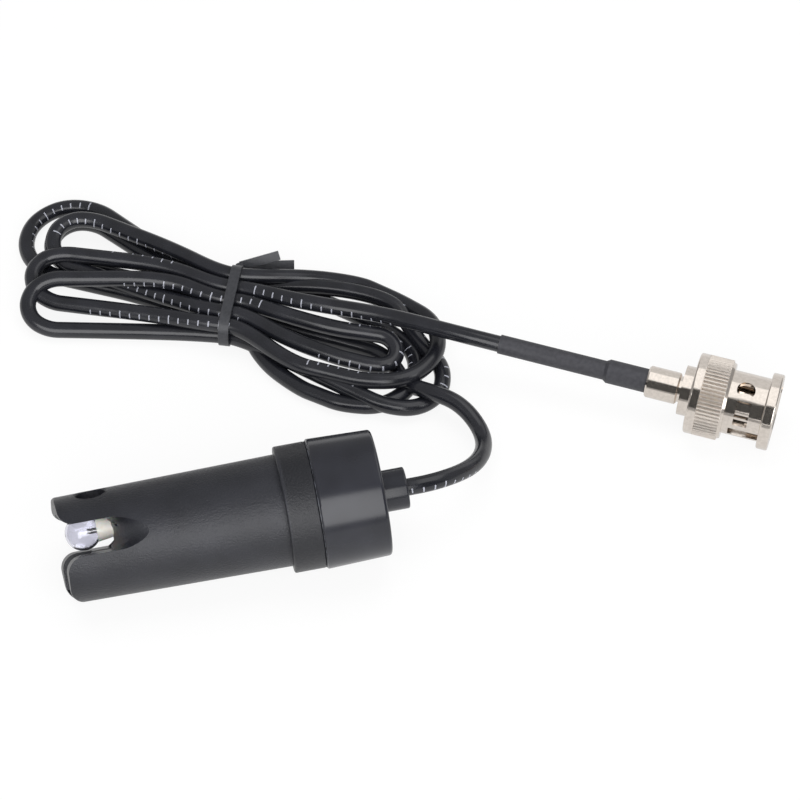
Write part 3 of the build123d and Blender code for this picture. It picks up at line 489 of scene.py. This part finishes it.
def routeLine():
    # the smooth line itself, read from a NURBS curve with the points above
    data = bpy.data.curves.new("route", "CURVE")
    data.dimensions = "3D"
    data.resolution_u = cordSettings["stepsPerPoint"]
    points = cordPoints()
    spline = data.splines.new("NURBS")
    spline.points.add(len(points) - 1)
    for point, place in zip(spline.points, points):
        point.co = (*(place * mm), 1.0)
    spline.order_u = 3
    spline.use_endpoint_u = True
    route = bpy.data.objects.new("route", data)
    mesh = bpy.data.meshes.new_from_object(route)
    places = np.empty(len(mesh.vertices) * 3)
    mesh.vertices.foreach_get("co", places)
    bpy.data.objects.remove(route)
    bpy.data.meshes.remove(mesh)
    return places.reshape(-1, 3)


def makeCord():
    # ring at each place of the line: place + radius * (cos(turn) * up + sin(turn) * side),
    # where side is level and square to the line, and up is square to both
    line = routeLine()
    ahead = np.gradient(line, axis=0)
    ahead /= np.linalg.norm(ahead, axis=1, keepdims=True)
    side = np.cross(ahead, (0.0, 0.0, 1.0))
    side /= np.linalg.norm(side, axis=1, keepdims=True)
    up = np.cross(side, ahead)
    sides = cordSettings["sides"]
    turn = np.linspace(0, 2 * pi, sides + 1)
    wheel = np.cos(turn[:-1, None]) * up[:, None] + np.sin(turn[:-1, None]) * side[:, None]
    places = (line[:, None] + cordSettings["diameter"] / 2 * mm * wheel).reshape(-1, 3)
    # faces between ring r and ring r + 1
    ring, spoke = np.meshgrid(np.arange(len(line) - 1), np.arange(sides), indexing="ij")
    corners = [(ring, spoke), (ring, spoke + 1), (ring + 1, spoke + 1), (ring + 1, spoke)]
    faces = np.stack([r * sides + k % sides for r, k in corners], axis=-1).reshape(-1, 4)
    mesh = bpy.data.meshes.new("cable")
    mesh.from_pydata(places.tolist(), [], faces.tolist())
    # the print winds slowly round the cord: its middle is at printTurn
    distance = np.concatenate([[0.0], np.cumsum(np.linalg.norm(np.diff(line, axis=0), axis=1))]) / mm
    printTurn = radians(cordSettings["printMiddle"]) + radians(cordSettings["printSwing"]) * np.sin(
        2 * pi * distance / cordSettings["printEvery"])
    where = [(distance[r], (turn[k] - printTurn[r]) / (2 * pi)) for r, k in corners]
    layer = mesh.uv_layers.new(name="print")
    layer.data.foreach_set("uv", np.stack([np.stack(pair, axis=-1) for pair in where], axis=-2).ravel())
    mesh.shade_smooth()
    mesh.materials.append(materials["black_cable"])
    return addObject("cable", mesh), line, float(distance[-1]) * mm


cable, cableLine, cableLength = makeCord()
print("cord laid,", round(cableLength, 3), "m long")
cableSolids = ("cable_probe_end", "cable_hank", "cable_plug_end")
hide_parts(*cableSolids)
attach(cable, "electrode_cord_and_plug")


# Stage: pale floor, soft lamps, white surroundings, and studio cards that only gloss sees
stageSettings = {
    "floorHalf": 3.0,  # m
    "floorColour": "F2F2F2",
    "floorGlow": 0.88,  # share of plain white, which leaves the shadow pale
    "floorInMetal": 0.8,  # how white the floor is where gloss shows it
    "worldStrength": 0.42,
    "glossyWorld": 0.36,
}
# Lamps give light and shadow but no highlight. Places and sizes are in metres, power in watts.
lampSettings = {
    "frontBox": {"place": (0.02, -0.55, 0.42), "aim": (0.03, 0.02, 0.01), "size": (1.1, 0.62), "power": 6.0},
    "topBox": {"place": (0.05, 0.25, 0.9), "aim": (0.03, 0.03, 0.0), "size": (0.9, 0.6), "power": 4.0},
}
# Cards give the highlights, and the dark band along the plug. Corners are in metres.
cardSettings = {
    "frontCard": {"brightness": 3.0, "corners": [
        (-0.53, -0.731, 0.168), (0.57, -0.731, 0.168), (0.57, -0.369, 0.672), (-0.53, -0.369, 0.672)]},
    "overPlugCard": {"brightness": 1.25, "corners": [
        (0.05, -0.045, 0.15), (0.17, -0.045, 0.15), (0.17, 0.11, 0.15), (0.05, 0.11, 0.15)]},
    "behindPlugCard": {"brightness": 0.75, "corners": [
        (0.09, 0.112, 0.002), (0.17, 0.112, 0.002), (0.17, 0.112, 0.15), (0.09, 0.112, 0.15)]},
    "darkCard": {"brightness": 0.05, "corners": [
        (0.034, -0.036, 0.02), (0.092, -0.036, 0.02), (0.092, -0.036, 0.118), (0.034, -0.036, 0.118)]},
}
white = (1, 1, 1, 1)


def makePlane(name, corners, material):
    mesh = bpy.data.meshes.new(name)
    mesh.from_pydata(corners, [], [(0, 1, 2, 3)])
    mesh.materials.append(material)
    return addObject(name, mesh)


def rayShare(tree, *kinds):
    # 1 for rays of any of these kinds
    share = addNode(tree, "LightPath", out=kinds[0])
    for kind in kinds[1:]:
        other = addNode(tree, "LightPath", out=kind)
        share = addNode(tree, "Math", {0: share, 1: other}, operation="MAXIMUM")
    return share


def paleFloor():
    material, tree = startMaterial("paleFloor")
    seen = rayShare(tree, "Is Camera Ray", "Is Glossy Ray", "Is Transmission Ray")
    share = addNode(tree, "Math", {0: seen, 1: stageSettings["floorGlow"]}, operation="MULTIPLY")
    whiteness = addNode(tree, "MapRange", {
        "Value": rayShare(tree, "Is Glossy Ray"), "To Min": 1.0, "To Max": stageSettings["floorInMetal"]})
    lit = addNode(tree, "BsdfDiffuse", {"Color": linear(stageSettings["floorColour"])})
    glow = addNode(tree, "Emission", {"Color": white, "Strength": whiteness})
    addNode(tree, "OutputMaterial", {"Surface": addNode(tree, "MixShader", {0: share, 1: lit, 2: glow})})
    return material


def makeCard(name, values):
    material, tree = startMaterial(name)
    glow = addNode(tree, "Emission", {"Color": white, "Strength": values["brightness"]})
    addNode(tree, "OutputMaterial", {"Surface": glow})
    card = makePlane(name, values["corners"], material)
    card.visible_camera = card.visible_diffuse = card.visible_transmission = card.visible_shadow = False
    return card


def makeWorld():
    world = bpy.data.worlds.new("studio")
    bpy.context.scene.world = world
    world.use_nodes = True
    tree = world.node_tree
    tree.nodes.clear()
    soft, gloss, plain = [addNode(tree, "Background", {"Color": white, "Strength": strength})
                          for strength in (stageSettings["worldStrength"], stageSettings["glossyWorld"], 1.0)]
    mixed = addNode(tree, "MixShader", {0: rayShare(tree, "Is Glossy Ray"), 1: soft, 2: gloss})
    seen = rayShare(tree, "Is Camera Ray", "Is Transmission Ray")
    addNode(tree, "OutputWorld", {"Surface": addNode(tree, "MixShader", {0: seen, 1: mixed, 2: plain})})


def makeLamp(name, values):
    data = bpy.data.lights.new(name, "AREA")
    data.shape = "RECTANGLE"
    data.size, data.size_y = values["size"]
    data.energy = values["power"]
    lamp = addObject(name, data)
    lamp.location = values["place"]
    lamp.rotation_euler = (Vector(values["aim"]) - lamp.location).to_track_quat("-Z", "Y").to_euler()
    lamp.visible_glossy = False


half = stageSettings["floorHalf"]
floor = makePlane(
    "floor", [(-half, -half, 0), (half, -half, 0), (half, half, 0), (-half, half, 0)], paleFloor())
makeWorld()
for name, values in lampSettings.items():
    makeLamp(name, values)
[makeCard(name, values) for name, values in cardSettings.items()]
bpy.context.scene.view_settings.view_transform = "Standard"
print("stage set")
